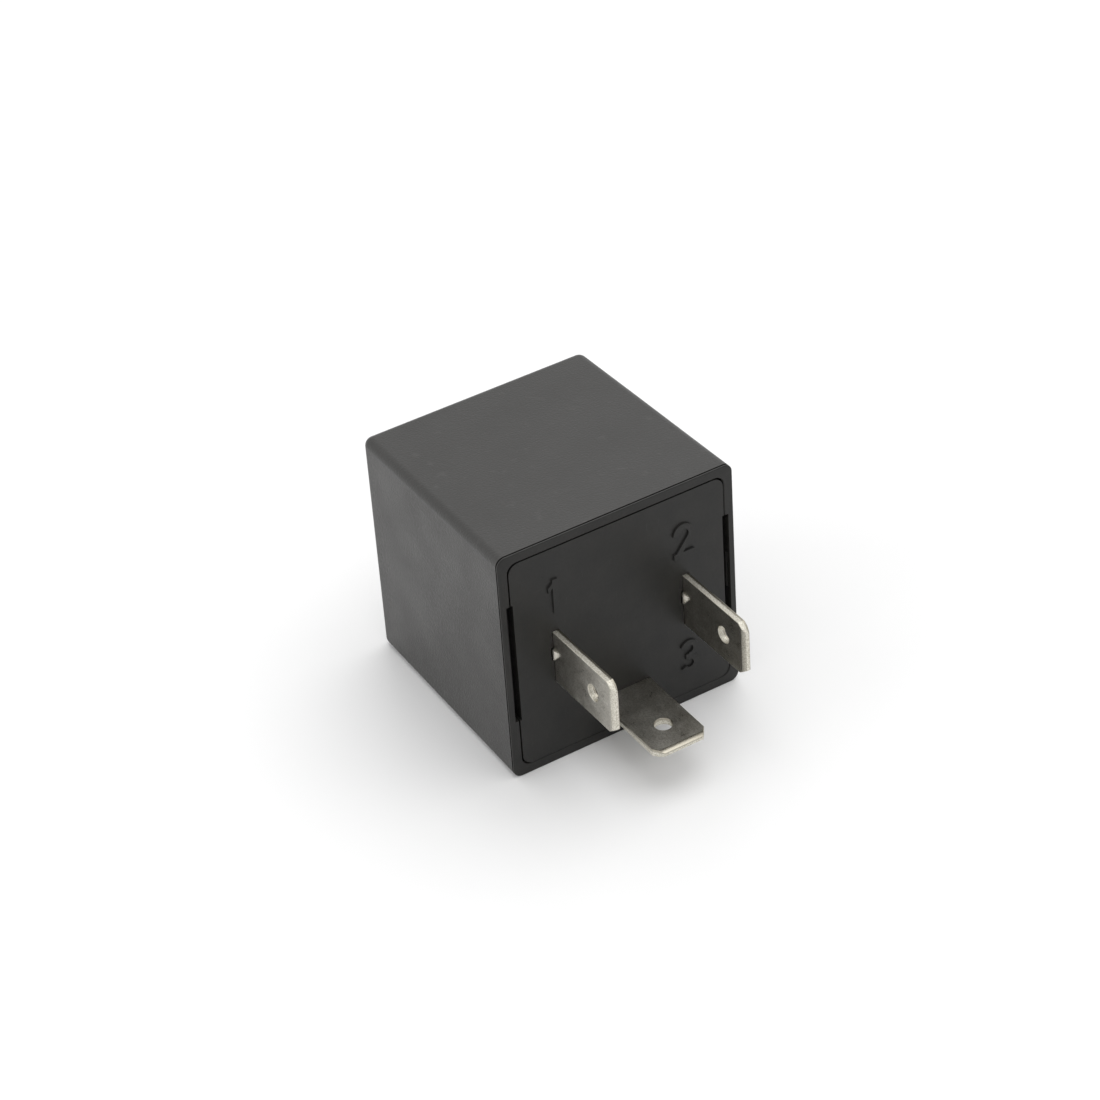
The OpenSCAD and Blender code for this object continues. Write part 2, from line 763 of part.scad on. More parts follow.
module capacitor_bung() {
    color("#2a2a2a") difference() {
        along_y(cap_y0, cap_y0 + bung_h) translate([cap_x, cap_z]) circle(can_r - 0.4);
        along_y(cap_y0 - cut, cap_y0 + bung_h + cut) for (p = cap_pads) translate([p[0], p[1]]) circle(lead_r);
    }
}

module capacitor_leads() {
    color("#c9ccd0") along_y(board_y - lead_below, cap_y0 + bung_h) for (p = cap_pads) {
        translate([p[0], p[1]]) circle(lead_r);
    }
}

module chip_body() {
    color("#1d1d1f") translate([chip_x, 0, chip_z]) difference() {
        along_x(-chip_len / 2, chip_len / 2) {
            polygon([
                [chip_y0, 0.25 - chip_w / 2], [chip_y0 + chip_t / 2, -chip_w / 2],
                [chip_y0 + chip_t, 0.25 - chip_w / 2], [chip_y0 + chip_t, chip_w / 2 - 0.25],
                [chip_y0 + chip_t / 2, chip_w / 2], [chip_y0, chip_w / 2 - 0.25]
            ]);
        }
        along_y(chip_y0 + chip_t - 0.5, chip_y0 + chip_t + cut) translate([-chip_len / 2, 0]) circle(0.8);
        along_y(chip_y0 + chip_t - 0.15, chip_y0 + chip_t + cut) {
            translate([1.4 - chip_len / 2, -1.9]) circle(0.45);
        }
    }
}

module chip_legs() {
    mid = chip_y0 + chip_t / 2;
    outer = chip_row / 2 + leg_t / 2;
    color("#c9ccd0") translate([chip_x, 0, chip_z]) for (i = [0:3], s = [0, 1]) mirror([0, 0, s]) {
        x = (i - 1.5) * chip_step;
        along_x(x - leg_shoulder_w / 2, x + leg_shoulder_w / 2) {
            translate([mid - leg_t / 2, chip_w / 2]) square([leg_t, outer - chip_w / 2]);
            translate([board_top + 0.4, outer - leg_t]) square([mid + leg_t / 2 - board_top - 0.4, leg_t]);
        }
        along_y(board_y - lead_below, board_top + 0.4) {
            translate([x, outer - leg_t / 2]) square([leg_w, leg_t], center = true);
        }
    }
}

module resistor_bodies() {
    y = board_top + resistor_r + 0.2;
    end = resistor_len / 2;
    color("#c8b48a") for (x = resistor_x) {
        translate([x, y, resistor_z]) rotate_extrude() {
            polygon([
                [lead_r, -end], [resistor_r * 0.8, -end], [resistor_r, 0.3 - end], [resistor_r, 1.2 - end],
                [resistor_r * 0.84, 1.5 - end], [resistor_r * 0.84, end - 1.5], [resistor_r, end - 1.2],
                [resistor_r, end - 0.3], [resistor_r * 0.8, end], [lead_r, end]
            ]);
        }
    }
}

module resistor_leads() {
    color("#c9ccd0") for (x = resistor_x) {
        staple(x, resistor_z, resistor_span, board_top + resistor_r + 0.2);
    }
}

module diode_body() {
    y = board_top + diode_r + 0.2;
    color("#b5522e") translate([diode_x, y, chip_z]) difference() {
        cylinder(r = diode_r, h = diode_len, center = true);
        cylinder(r = lead_r, h = diode_len + 2 * cut, center = true);
    }
}

module diode_leads() {
    color("#c9ccd0") staple(diode_x, chip_z, diode_span, board_top + diode_r + 0.2);
}

module disc_capacitor() {
    color("#c98f3c") along_x(disc_x - disc_t / 2, disc_x + disc_t / 2) {
        translate([disc_y, chip_z]) circle(disc_r);
    }
}

module disc_leads() {
    color("#c9ccd0") difference() {
        along_y(board_y - lead_below, disc_y) for (p = disc_pads) translate([p[0], p[1]]) circle(lead_r);
        along_x(disc_x - disc_t, disc_x + disc_t) translate([disc_y, chip_z]) circle(disc_r);
    }
}

// A thick wire bent into an arch
module shunt_wire() {
    bend_r = (shunt_x[1] - shunt_x[0]) / 2;
    bend_y = board_top + shunt_h - bend_r - shunt_r;
    color("#b9a07a") {
        along_y(board_y - lead_below, bend_y) for (x = shunt_x) translate([x, shunt_z]) circle(shunt_r);
        translate([shunt_x[0] + bend_r, bend_y, shunt_z]) rotate_extrude(angle = 180) {
            translate([bend_r, 0]) circle(shunt_r);
        }
    }
}

cover();
base();
terminal_1();
terminal_2();
terminal_3();
board();
solder_joints();
yoke();
core();
bobbin();
winding();
coil_pins();
armature();
contact_spring();
armature_rivets();
moving_contact();
hinge_spring();
hinge_rivets();
contact_bracket();
fixed_contact();
back_stop();
capacitor_can();
capacitor_sleeve();
capacitor_bung();
capacitor_leads();
chip_body();
chip_legs();
resistor_bodies();
resistor_leads();
diode_body();
diode_leads();
disc_capacitor();
disc_leads();
shunt_wire();
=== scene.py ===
import json
import math

import bmesh
import bpy
from mathutils import Euler, Matrix, Vector


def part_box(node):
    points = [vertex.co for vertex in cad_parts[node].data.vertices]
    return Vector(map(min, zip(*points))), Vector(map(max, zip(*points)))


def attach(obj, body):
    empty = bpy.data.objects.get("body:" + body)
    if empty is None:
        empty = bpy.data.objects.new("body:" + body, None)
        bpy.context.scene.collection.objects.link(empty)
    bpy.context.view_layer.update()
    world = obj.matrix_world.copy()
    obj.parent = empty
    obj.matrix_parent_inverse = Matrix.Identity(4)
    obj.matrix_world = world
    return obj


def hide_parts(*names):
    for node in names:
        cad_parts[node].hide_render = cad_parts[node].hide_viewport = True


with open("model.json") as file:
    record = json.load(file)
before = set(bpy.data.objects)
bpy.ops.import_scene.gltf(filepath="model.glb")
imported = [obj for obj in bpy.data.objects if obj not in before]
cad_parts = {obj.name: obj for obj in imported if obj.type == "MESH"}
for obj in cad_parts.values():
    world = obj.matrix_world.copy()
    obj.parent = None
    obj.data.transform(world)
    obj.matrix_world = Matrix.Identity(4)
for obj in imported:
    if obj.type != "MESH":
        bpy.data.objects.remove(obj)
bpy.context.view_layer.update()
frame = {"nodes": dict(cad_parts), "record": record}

mm = 0.001
sheet = 0.8  # mm, the thickness of the blades' strip
scene = bpy.context.scene
bodyOf = {node: body for body, nodes in frame["record"]["behaviour"]["bodies"].items() for node in nodes}
slotOf = {part["node"]: part["material_slot"] for part in frame["record"]["subparts"]}

# Camera: a long lens from the left, a little above

view = {
    "place": (-140.38, -231.67, 208.37),  # mm
    "turn": (53.665, 3.415, -32.253),  # degrees about X, Y and Z
    "lens": 110.18, "sensor": 36,  # mm
    "shift": 0.0013,
    "clip": (0.01, 10),  # m
}
cameraData = bpy.data.cameras.new("camera")
cameraData.lens = view["lens"]
cameraData.sensor_width = view["sensor"]
cameraData.shift_x = view["shift"]
cameraData.clip_start, cameraData.clip_end = view["clip"]
camera = bpy.data.objects.new("camera", cameraData)
camera.location = Vector(view["place"]) * mm
camera.rotation_euler = Euler([math.radians(a) for a in view["turn"]])
scene.collection.objects.link(camera)
scene.camera = camera
print("camera set")


# An sRGB hex code as the linear colour that the nodes take
def hexColour(code):
    parts = [int(code[i:i + 2], 16) / 255 for i in (0, 2, 4)]
    return tuple(p / 12.92 if p <= 0.04045 else ((p + 0.055) / 1.055) ** 2.4 for p in parts) + (1,)


# A new node: settings are its own properties, inputs are values or the sockets that feed it
def addNode(tree, kind, inputs=None, **settings):
    node = tree.nodes.new(kind)
    for key, value in settings.items():
        setattr(node, key, value)
    for key, value in (inputs or {}).items():
        if isinstance(value, bpy.types.NodeSocket):
            tree.links.new(value, node.inputs[key])
        else:
            node.inputs[key].default_value = value
    return node


# A material with its shader and the object coordinates that its patterns read
def newMaterial(name, **sockets):
    material = bpy.data.materials.new(name)
    material.use_nodes = True
    tree = material.node_tree
    shader = tree.nodes["Principled BSDF"]
    for key, value in sockets.items():
        shader.inputs[key.replace("_", " ")].default_value = value
    return material, tree, shader, tree.nodes.new("ShaderNodeTexCoord").outputs["Object"]


def perMetre(sizeInMm):
    return 1 / (sizeInMm * mm)


def ramp(tree, fac, *stops):
    node = addNode(tree, "ShaderNodeValToRGB", {"Fac": fac})
    while len(node.color_ramp.elements) < len(stops):
        node.color_ramp.elements.new(0.5)
    for element, (place, colour) in zip(node.color_ramp.elements, stops):
        element.position = place
        element.color = hexColour(colour) if isinstance(colour, str) else (colour, colour, colour, 1)
    return node.outputs["Color"]


def meshPiece(name, bm):
    mesh = bpy.data.meshes.new(name)
    bm.to_mesh(mesh)
    bm.free()
    piece = bpy.data.objects.new(name, mesh)
    scene.collection.objects.link(piece)
    return piece


# Bakes the modifiers into a plain mesh
def applyModifiers(piece):
    evaluated = piece.evaluated_get(bpy.context.evaluated_depsgraph_get())
    mesh = bpy.data.meshes.new_from_object(evaluated)
    piece.modifiers.clear()
    piece.data = mesh


def smoothOver(piece, degrees=35):
    piece.data.polygons.foreach_set("use_smooth", [True] * len(piece.data.polygons))
    piece.data.set_sharp_from_angle(angle=math.radians(degrees))
    weigh = piece.modifiers.new("weigh", "WEIGHTED_NORMAL")
    weigh.keep_sharp = True
    applyModifiers(piece)


# Gives a piece its finish, and puts it on the body of the CAD node that it stands for
def fitOut(piece, node, material):
    piece.data.materials.clear()
    piece.data.materials.append(material)
    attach(piece, bodyOf[node])
    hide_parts(node)


def noiseAt(tree, place, sizeInMm, detail, stretch=None):
    if stretch:
        place = addNode(tree, "ShaderNodeMapping", {"Vector": place, "Scale": stretch}).outputs["Vector"]
    sockets = {"Vector": place, "Scale": perMetre(sizeInMm), "Detail": detail}
    return addNode(tree, "ShaderNodeTexNoise", sockets).outputs["Fac"]


def mixColours(tree, fac, first, second):
    return addNode(tree, "ShaderNodeMix", {0: fac, 6: first, 7: second}, data_type="RGBA").outputs[2]


def maths(tree, operation, first, second):
    return addNode(tree, "ShaderNodeMath", {0: first, 1: second}, operation=operation).outputs[0]


def addBump(tree, shader, height, depthInMm):
    bump = addNode(tree, "ShaderNodeBump", {"Height": height, "Strength": 1.0, "Distance": depthInMm * mm})
    tree.links.new(bump.outputs["Normal"], shader.inputs["Normal"])


# Where a point lies between two places along one axis, from 0 to 1
def along(tree, place, axis, start, end):
    value = addNode(tree, "ShaderNodeSeparateXYZ", {"Vector": place}).outputs[axis]
    part = addNode(tree, "ShaderNodeMapRange", {"Value": value, "From Min": start, "From Max": end})
    return part.outputs["Result"]


# Glass-filled nylon, moulded in a spark-eroded tool: black, satin, with a fine even grain
def coverNylon():
    grainSize, patchSize, rubSize = 0.22, 5, 1.4
    material, tree, shader, place = newMaterial("sparkErodedNylon", IOR=1.55)
    grain = noiseAt(tree, place, grainSize, 4)
    patch = noiseAt(tree, place, patchSize, 3)
    rub = noiseAt(tree, place, rubSize, 5)
    speckle = ramp(tree, grain, (0.35, 0.0), (0.65, 1.0))
    tone = mixColours(tree, speckle, hexColour("262523"), hexColour("2d2c2a"))
    dusty = mixColours(tree, ramp(tree, rub, (0.62, 0.0), (0.8, 0.35)), tone, hexColour("4a4947"))
    tree.links.new(dusty, shader.inputs["Base Color"])
    rough = maths(tree, "ADD", ramp(tree, patch, (0.3, 0.34), (0.7, 0.42)),
                  ramp(tree, grain, (0.3, 0.0), (0.7, 0.12)))
    tree.links.new(rough, shader.inputs["Roughness"])
    addBump(tree, shader, grain, 0.05)
    return material


# The same nylon from a smoother tool: darker, flatter, with faint flow clouds and hair scratches
def baseNylon():
    cloudSize, hairSize, poreSize = 3.5, 0.09, 0.3
    material, tree, shader, place = newMaterial("smoothMouldedNylon", IOR=1.38)
    cloud = noiseAt(tree, place, cloudSize, 3)
    hair = noiseAt(tree, place, hairSize, 2, (1, 1, 0.04))
    pore = noiseAt(tree, place, poreSize, 4)
    tone = ramp(tree, cloud, (0.3, "1a1a19"), (0.7, "22211f"))
    scuffed = mixColours(tree, ramp(tree, hair, (0.66, 0.0), (0.74, 0.3)), tone, hexColour("3c3c3c"))
    tree.links.new(scuffed, shader.inputs["Base Color"])
    tree.links.new(ramp(tree, pore, (0.3, 0.38), (0.7, 0.5)), shader.inputs["Roughness"])
    addBump(tree, shader, pore, 0.006)
    return material


# Tin plate on the blades' rolled faces: grey and mirror-like, clouded, with wipe marks along the blade
def rolledTin():
    cloudSize, wipeSize, speckSize = 1.6, 0.05, 0.13
    material, tree, shader, place = newMaterial("rolledTinPlate", Metallic=1.0)
    cloud = noiseAt(tree, place, cloudSize, 4)
    wipe = noiseAt(tree, place, wipeSize, 3, (1, 0.03, 1))
    speck = noiseAt(tree, place, speckSize, 2)
    tone = ramp(tree, cloud, (0.3, "c6c2b8"), (0.7, "d2cfc6"))
    frosted = mixColours(tree, ramp(tree, speck, (0.4, 0.5), (0.6, 0.0)), tone, hexColour("9c988d"))
    wiped = mixColours(tree, ramp(tree, wipe, (0.56, 0.0), (0.72, 0.6)), frosted, hexColour("f0eee8"))
    tree.links.new(wiped, shader.inputs["Base Color"])
    rough = maths(tree, "ADD", ramp(tree, cloud, (0.3, 0.26), (0.7, 0.32)),
                  ramp(tree, speck, (0.35, 0.0), (0.65, 0.08)))
    tree.links.new(rough, shader.inputs["Roughness"])
    addBump(tree, shader, maths(tree, "ADD", wipe, speck), 0.0025)
    return material


# The same tin where the press has cut the strip: part of the thickness is burnished
# and grey, the rest torn and pale
def shearedTin(node, axis):
    tearSize, pitSize, burnished, unevenness = 0.12, 0.05, 0.35, 0.3
    material, tree, shader, place = newMaterial("shearedTinPlate", Metallic=1.0)
    tear = noiseAt(tree, place, tearSize, 3)
    pit = noiseAt(tree, place, pitSize, 2)
    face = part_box(node)[1]["XYZ".index(axis)]
    deep = along(tree, place, axis, face, face - sheet * mm)
    waver = maths(tree, "ADD", deep, maths(tree, "MULTIPLY", tear, unevenness))
    torn = ramp(tree, waver, (burnished + 0.1, 0.0), (burnished + 0.2, 1.0))
    pale = ramp(tree, tear, (0.35, "bab5a7"), (0.6, "e2dfd5"))
    tree.links.new(mixColours(tree, torn, hexColour("a8a396"), pale), shader.inputs["Base Color"])
    rough = maths(tree, "ADD", maths(tree, "MULTIPLY", torn, 0.25),
                  ramp(tree, pit, (0.3, 0.24), (0.7, 0.34)))
    tree.links.new(rough, shader.inputs["Roughness"])
    addBump(tree, shader, maths(tree, "MULTIPLY", tear, torn), 0.02)
    return material


# A metal with cloudy patches, rolling or drawing streaks and a little unevenness
def metal(name, low, high, patch, stretch, rough, dent=0.0008):
    material, tree, shader, place = newMaterial(name, Metallic=1.0)
    cloud = noiseAt(tree, place, patch, 5)
    streak = noiseAt(tree, place, patch * 0.12, 3, stretch)
    tone = ramp(tree, cloud, (0.3, low), (0.7, high))
    streaked = mixColours(tree, ramp(tree, streak, (0.35, 0.25), (0.65, 0.0)), tone, hexColour(low))
    tree.links.new(streaked, shader.inputs["Base Color"])
    tree.links.new(ramp(tree, streak, (0.3, rough[0]), (0.7, rough[1])), shader.inputs["Roughness"])
    addBump(tree, shader, streak, dent)
    return material


# A plastic, lacquer or rubber with soft patches, pores and a chosen shine
def plastic(name, low, high, patch, pore, rough, dent=0.004, **sockets):
    material, tree, shader, place = newMaterial(name, **sockets)
    cloud = noiseAt(tree, place, patch, 4)
    pores = noiseAt(tree, place, pore, 3)
    tree.links.new(ramp(tree, cloud, (0.3, low), (0.7, high)), shader.inputs["Base Color"])
    tree.links.new(ramp(tree, pores, (0.3, rough[0]), (0.7, rough[1])), shader.inputs["Roughness"])
    addBump(tree, shader, pores, dent)
    return material


# Coloured bands round a body that lies along Z, from one end of its CAD node to the other
def banded(material, node, *stops):
    low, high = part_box(node)
    tree = material.node_tree
    shader = tree.nodes["Principled BSDF"]
    place = tree.nodes["Texture Coordinate"].outputs["Object"]
    under = shader.inputs["Base Color"].links[0].from_socket
    fac = along(tree, place, "Z", low.z, high.z)
    paint = ramp(tree, fac, *[(start, colour or "000000") for start, colour in stops])
    cover = ramp(tree, fac, *[(start, 1.0 if colour else 0.0) for start, colour in stops])
    for made in tree.nodes:
        if made.bl_idname == "ShaderNodeValToRGB" and len(made.color_ramp.elements) == len(stops):
            made.color_ramp.interpolation = "CONSTANT"
    tree.links.new(mixColours(tree, cover, under, paint), shader.inputs["Base Color"])
    return material


# Shrunk film on the capacitor: dark blue and glossy, with one pale stripe down its negative side
def sleeveFilm():
    stripeHalf = 0.9  # mm
    material = plastic("shrunkSleeveFilm", "0d1524", "15203a", 2.5, 0.4, (0.16, 0.26))
    low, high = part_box("capacitor_sleeve")
    middle = (low + high) / 2
    tree = material.node_tree
    shader = tree.nodes["Principled BSDF"]
    place = tree.nodes["Texture Coordinate"].outputs["Object"]
    parts = addNode(tree, "ShaderNodeSeparateXYZ", {"Vector": place})
    off = maths(tree, "ABSOLUTE", maths(tree, "SUBTRACT", parts.outputs["Z"], middle.z), 0.0)
    stripe = maths(tree, "MULTIPLY", maths(tree, "LESS_THAN", off, stripeHalf * mm),
                   maths(tree, "LESS_THAN", parts.outputs["X"], middle.x))
    under = shader.inputs["Base Color"].links[0].from_socket
    tree.links.new(mixColours(tree, stripe, under, hexColour("a9b4bd")), shader.inputs["Base Color"])
    return material


# Green resist over the copper under the board: tracks stand out a little lighter, with a glossy skin
def resistMask():
    trackSize, hazeSize, gap = 5, 1.5, hexColour("1e4a2b")  # mm
    material, tree, shader, place = newMaterial("greenResistOverCopper", Roughness=0.28)
    turned = addNode(tree, "ShaderNodeMapping", {"Vector": place, "Rotation": (math.radians(90), 0, 0)})
    tracks = addNode(tree, "ShaderNodeTexBrick", {
        "Vector": turned.outputs["Vector"], "Scale": perMetre(trackSize), "Mortar Size": 0.03,
        "Mortar Smooth": 0.1, "Color1": hexColour("2f6b3c"), "Color2": hexColour("3a7a45"), "Mortar": gap})
    haze = noiseAt(tree, place, hazeSize, 4)
    tone = mixColours(tree, ramp(tree, haze, (0.35, 0.0), (0.7, 0.3)), tracks.outputs["Color"], gap)
    tree.links.new(tone, shader.inputs["Base Color"])
    addBump(tree, shader, tracks.outputs["Fac"], -0.03)
    return material


# How rolling or drawing lines are stretched: along X, along Y, or not at all
level, upright, even = (0.05, 1, 1), (1, 0.05, 1), (1, 1, 1)
finishes = {
    "cover_plastic": coverNylon(),
    "base_plastic": baseNylon(),
    "tin_plate": rolledTin(),
    # paper board, bonded with resin: tan, with darker fibres and a cut, matt edge
    "board_laminate": plastic("phenolicPaperBoard", "8f6230", "ab7a40", 0.8, 0.12, (0.4, 0.6)),
    # solder, cooled in the air: bright, a little frosted
    "solder": metal("cooledTinSolder", "b0b4b7", "e2e5e6", 0.5, even, (0.2, 0.36), 0.003),
    # zinc on soft iron: pale blue-grey spangle with rolling lines
    "zinc_steel": metal("zincPlatedIron", "9da3a8", "cdd1d4", 0.9, upright, (0.26, 0.42)),
    # the bobbin's glass-filled nylon: near black, satin
    "bobbin_plastic": plastic("mouldedBobbinNylon", "131519", "1d2025", 2, 0.25, (0.38, 0.52)),
    # enamelled wire: glossy orange-brown, each turn a highlight
    "copper_wire": metal("enamelledCopper", "a85426", "c97440", 0.6, level, (0.3, 0.4), 0.0003),
    # spring strip: reddish gold with fine rolling lines
    "spring_bronze": metal("rolledPhosphorBronze", "b67d46", "d9a467", 0.8, level, (0.22, 0.36)),
    # half-hard brass: yellow, brushed by the rollers
    "brass": metal("rolledBrass", "b8934c", "dcbd72", 0.8, upright, (0.2, 0.36)),
    # silver contact faces: white, turned matt by the press
    "silver": metal("pressedSilver", "cbcac5", "f0efeb", 0.4, even, (0.18, 0.32)),
    # drawn aluminium: white metal with lines up the can
    "can_aluminium": metal("drawnAluminium", "bfc2c5", "e2e4e6", 0.9, upright, (0.2, 0.34)),
    "sleeve_film": sleeveFilm(),
    # butyl bung: dead black and matt
    "bung_rubber": plastic("mouldedButyl", "141414", "1e1e1e", 1, 0.2, (0.62, 0.8), 0.01),
    # transfer-moulded epoxy: charcoal with a fine spark grain
    "chip_plastic": plastic("mouldedEpoxy", "111113", "1c1c1f", 0.5, 0.08, (0.45, 0.65), 0.01),
    # coated film resistors: beige lacquer with four bands
    "resistor_lacquer": banded(
        plastic("dippedResistorLacquer", "c9a877", "dcc093", 0.8, 0.2, (0.22, 0.34)), "resistor_bodies",
        (0.0, None), (0.13, "7a3f16"), (0.2, None), (0.36, "101010"), (0.43, None),
        (0.55, "c8701c"), (0.62, None), (0.8, "b08a2c"), (0.87, None)),
    # glass diode: deep orange and glossy, with a black ring at the cathode
    "diode_glass": banded(
        plastic("fusedDiodeGlass", "8c3a1a", "b3542a", 0.8, 0.3, (0.06, 0.12), Coat_Weight=0.6), "diode_body",
        (0.0, None), (0.74, "0c0c0c"), (0.9, None)),
    # dipped ceramic disc: ochre resin, thick and shiny
    "disc_resin": plastic("dippedCeramicResin", "b0701f", "cd8c33", 1, 0.35, (0.2, 0.34), 0.02),
    # resistance wire: drawn, greyish gold
    "shunt_alloy": metal("drawnResistanceWire", "8f7450", "b89b72", 0.5, upright, (0.28, 0.42)),
}
boardUnderside = resistMask()
print("materials made:", len(finishes) + 1)


# A merged copy of a CAD node, its flat faces made whole and its sharp edges rounded
def eased(node, width, steps=2, degrees=30):
    mergeWithin, flatWithin = 0.002, 0.5  # mm and degrees
    bm = bmesh.new()
    bm.from_mesh(frame["nodes"][node].data)
    bmesh.ops.remove_doubles(bm, verts=bm.verts, dist=mergeWithin * mm)
    bmesh.ops.dissolve_limit(bm, angle_limit=math.radians(flatWithin), verts=bm.verts, edges=bm.edges)
    piece = meshPiece(node + "Piece", bm)
    if width:
        bevel = piece.modifiers.new("ease", "BEVEL")
        bevel.width = width * mm
        bevel.segments = steps
        bevel.limit_method = "ANGLE"
        bevel.angle_limit = math.radians(degrees)
        applyModifiers(piece)
    smoothOver(piece)
    return piece


easedEdges = {  # mm of rounding on each CAD piece that keeps its shape
    "base": 0.1, "terminal_1": 0.06, "terminal_2": 0.06, "terminal_3": 0.06, "board": 0.03,
    "solder_joints": 0, "yoke": 0.12, "core": 0.1, "bobbin": 0.08, "coil_pins": 0.05,
    "armature": 0.1, "contact_spring": 0.03, "armature_rivets": 0, "moving_contact": 0.08,
    "hinge_spring": 0.03, "hinge_rivets": 0.1, "contact_bracket": 0.06, "fixed_contact": 0.08,
    "back_stop": 0.06, "capacitor_can": 0.05, "capacitor_sleeve": 0, "capacitor_bung": 0.05,
    "capacitor_leads": 0, "chip_body": 0.08, "chip_legs": 0.04, "resistor_bodies": 0,
    "resistor_leads": 0, "diode_body": 0.15, "diode_leads": 0, "disc_capacitor": 0.4, "disc_leads": 0,
    "shunt_wire": 0,
}
pieces = {}
for node, width in easedEdges.items():
    pieces[node] = eased(node, width)
    fitOut(pieces[node], node, finishes[slotOf[node]])
print("CAD pieces eased:", len(easedEdges))


# A second material on the faces that fit a test of their direction
def faceMaterial(piece, material, test):
    piece.data.materials.append(material)
    for face in piece.data.polygons:
        if test(face.normal):
            face.material_index = 1


# A blade's rolled faces look along one axis, and all its other faces were cut
for node, axis in (("terminal_1", "X"), ("terminal_2", "X"), ("terminal_3", "Z")):
    faceMaterial(pieces[node], shearedTin(node, axis), lambda normal: abs(normal["XYZ".index(axis)]) < 0.97)
faceMaterial(pieces["board"], boardUnderside, lambda normal: normal.y < -0.9)


turns = {
    "wireRadius": 0.1, "count": 40,  # mm, thicker than real magnet wire so that each turn shows
    "sides": 6, "steps": 40, "coreSides": 48,
}


# The winding: one wire laid in close turns over a core of hidden turns
def windingTurns():
    tree = bpy.data.node_groups.new("windingTurns", "GeometryNodeTree")
    keys = {name: tree.interface.new_socket(name, in_out="INPUT", socket_type="NodeSocketFloat").identifier
            for name in ("wireRadius", "middleRadius", "length", "count")}
    tree.interface.new_socket("winding", in_out="OUTPUT", socket_type="NodeSocketGeometry")
    given = tree.nodes.new("NodeGroupInput").outputs
    spiral = addNode(tree, "GeometryNodeCurveSpiral", {
        "Resolution": turns["steps"], "Rotations": given["count"], "Start Radius": given["middleRadius"],
        "End Radius": given["middleRadius"], "Height": given["length"]})
    section = addNode(tree, "GeometryNodeCurvePrimitiveCircle", {
        "Resolution": turns["sides"], "Radius": given["wireRadius"]})
    wire = addNode(tree, "GeometryNodeCurveToMesh", {
        "Curve": spiral.outputs["Curve"], "Profile Curve": section.outputs["Curve"], "Fill Caps": True})
    under = addNode(tree, "GeometryNodeMeshCylinder", {
        "Vertices": turns["coreSides"], "Radius": given["middleRadius"], "Depth": given["length"]})
    halfLength = addNode(tree, "ShaderNodeMath", {0: given["length"], 1: 0.5}, operation="MULTIPLY")
    lift = addNode(tree, "ShaderNodeCombineXYZ", {"Z": halfLength.outputs[0]})
    raised = addNode(tree, "GeometryNodeTransform", {
        "Geometry": under.outputs["Mesh"], "Translation": lift.outputs["Vector"]})
    both = tree.nodes.new("GeometryNodeJoinGeometry")
    tree.links.new(raised.outputs["Geometry"], both.inputs["Geometry"])
    tree.links.new(wire.outputs["Mesh"], both.inputs["Geometry"])
    laid = addNode(tree, "GeometryNodeTransform", {
        "Geometry": both.outputs["Geometry"], "Rotation": (math.radians(-90), 0, 0)})
    real = addNode(tree, "GeometryNodeRealizeInstances", {"Geometry": laid.outputs["Geometry"]})
    painted = addNode(tree, "GeometryNodeSetMaterial", {
        "Geometry": real.outputs["Geometry"], "Material": finishes["copper_wire"]})
    tree.links.new(painted.outputs["Geometry"], tree.nodes.new("NodeGroupOutput").inputs["winding"])
    return tree, keys


low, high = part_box("winding")
middle = (low + high) / 2
wireRadius = turns["wireRadius"] * mm
winding = meshPiece("windingTurns", bmesh.new())
tree, keys = windingTurns()
layer = winding.modifiers.new("turns", "NODES")
layer.node_group = tree
layer[keys["wireRadius"]] = wireRadius
layer[keys["middleRadius"]] = (high.x - low.x) / 2 - wireRadius
layer[keys["length"]] = high.y - low.y - 2 * wireRadius
layer[keys["count"]] = float(turns["count"])
applyModifiers(winding)
winding.data.transform(Matrix.Translation((middle.x, low.y + wireRadius, middle.z)))
smoothOver(winding, 50)
fitOut(winding, "winding", finishes["copper_wire"])
print("winding laid:", turns["count"], "turns")


cover = {  # mm
    "wall": 1.1, "lean": 0.4, "edge": 1.0, "end": 1.0, "rimEase": 0.12, "innerEdge": 1.1, "innerEase": 0.08,
    "partLineAfter": 0.02, "partLineDeep": 0.22, "partLineWide": 0.18,  # where the mould's halves meet
    "slotCentre": 0.55, "slotLength": 14.5, "slotDepth": 4.6, "slotCut": 0.45, "slotRunOut": 3,
    "catchOut": 0.19, "catchDepth": 0.4, "catchLength": 4.35, "catchAt": 0.7, "catchRoot": 0.1,
    "leastCorner": 0.05, "cornerSteps": 10, "rimSteps": 4, "innerSteps": 8, "endSteps": 10,
}


# A rounded rectangle's points, with both side walls pushed out along the slot
def coverLoop(halfWidth, halfHeight, corner, push=0.0):
    steps = cover["cornerSteps"]
    low = cover["slotCentre"] - cover["slotLength"] / 2
    high = cover["slotCentre"] + cover["slotLength"] / 2
    points = []
    for turn, sx, sz in ((0, 1, 1), (90, -1, 1), (180, -1, -1), (270, 1, -1)):
        for i in range(steps + 1):
            a = math.radians(turn + 90 * i / steps)
            points.append((sx * (halfWidth - corner) + corner * math.cos(a),
                           sz * (halfHeight - corner) + corner * math.sin(a)))
        if turn in (90, 270):
            side = -1 if turn == 90 else 1
            ends = (high, low) if turn == 90 else (low, high)
            points += [(side * halfWidth, ends[0]), (side * (halfWidth + push), ends[0])]
            points += [(side * (halfWidth + push), ends[1]), (side * halfWidth, ends[1])]
    return points


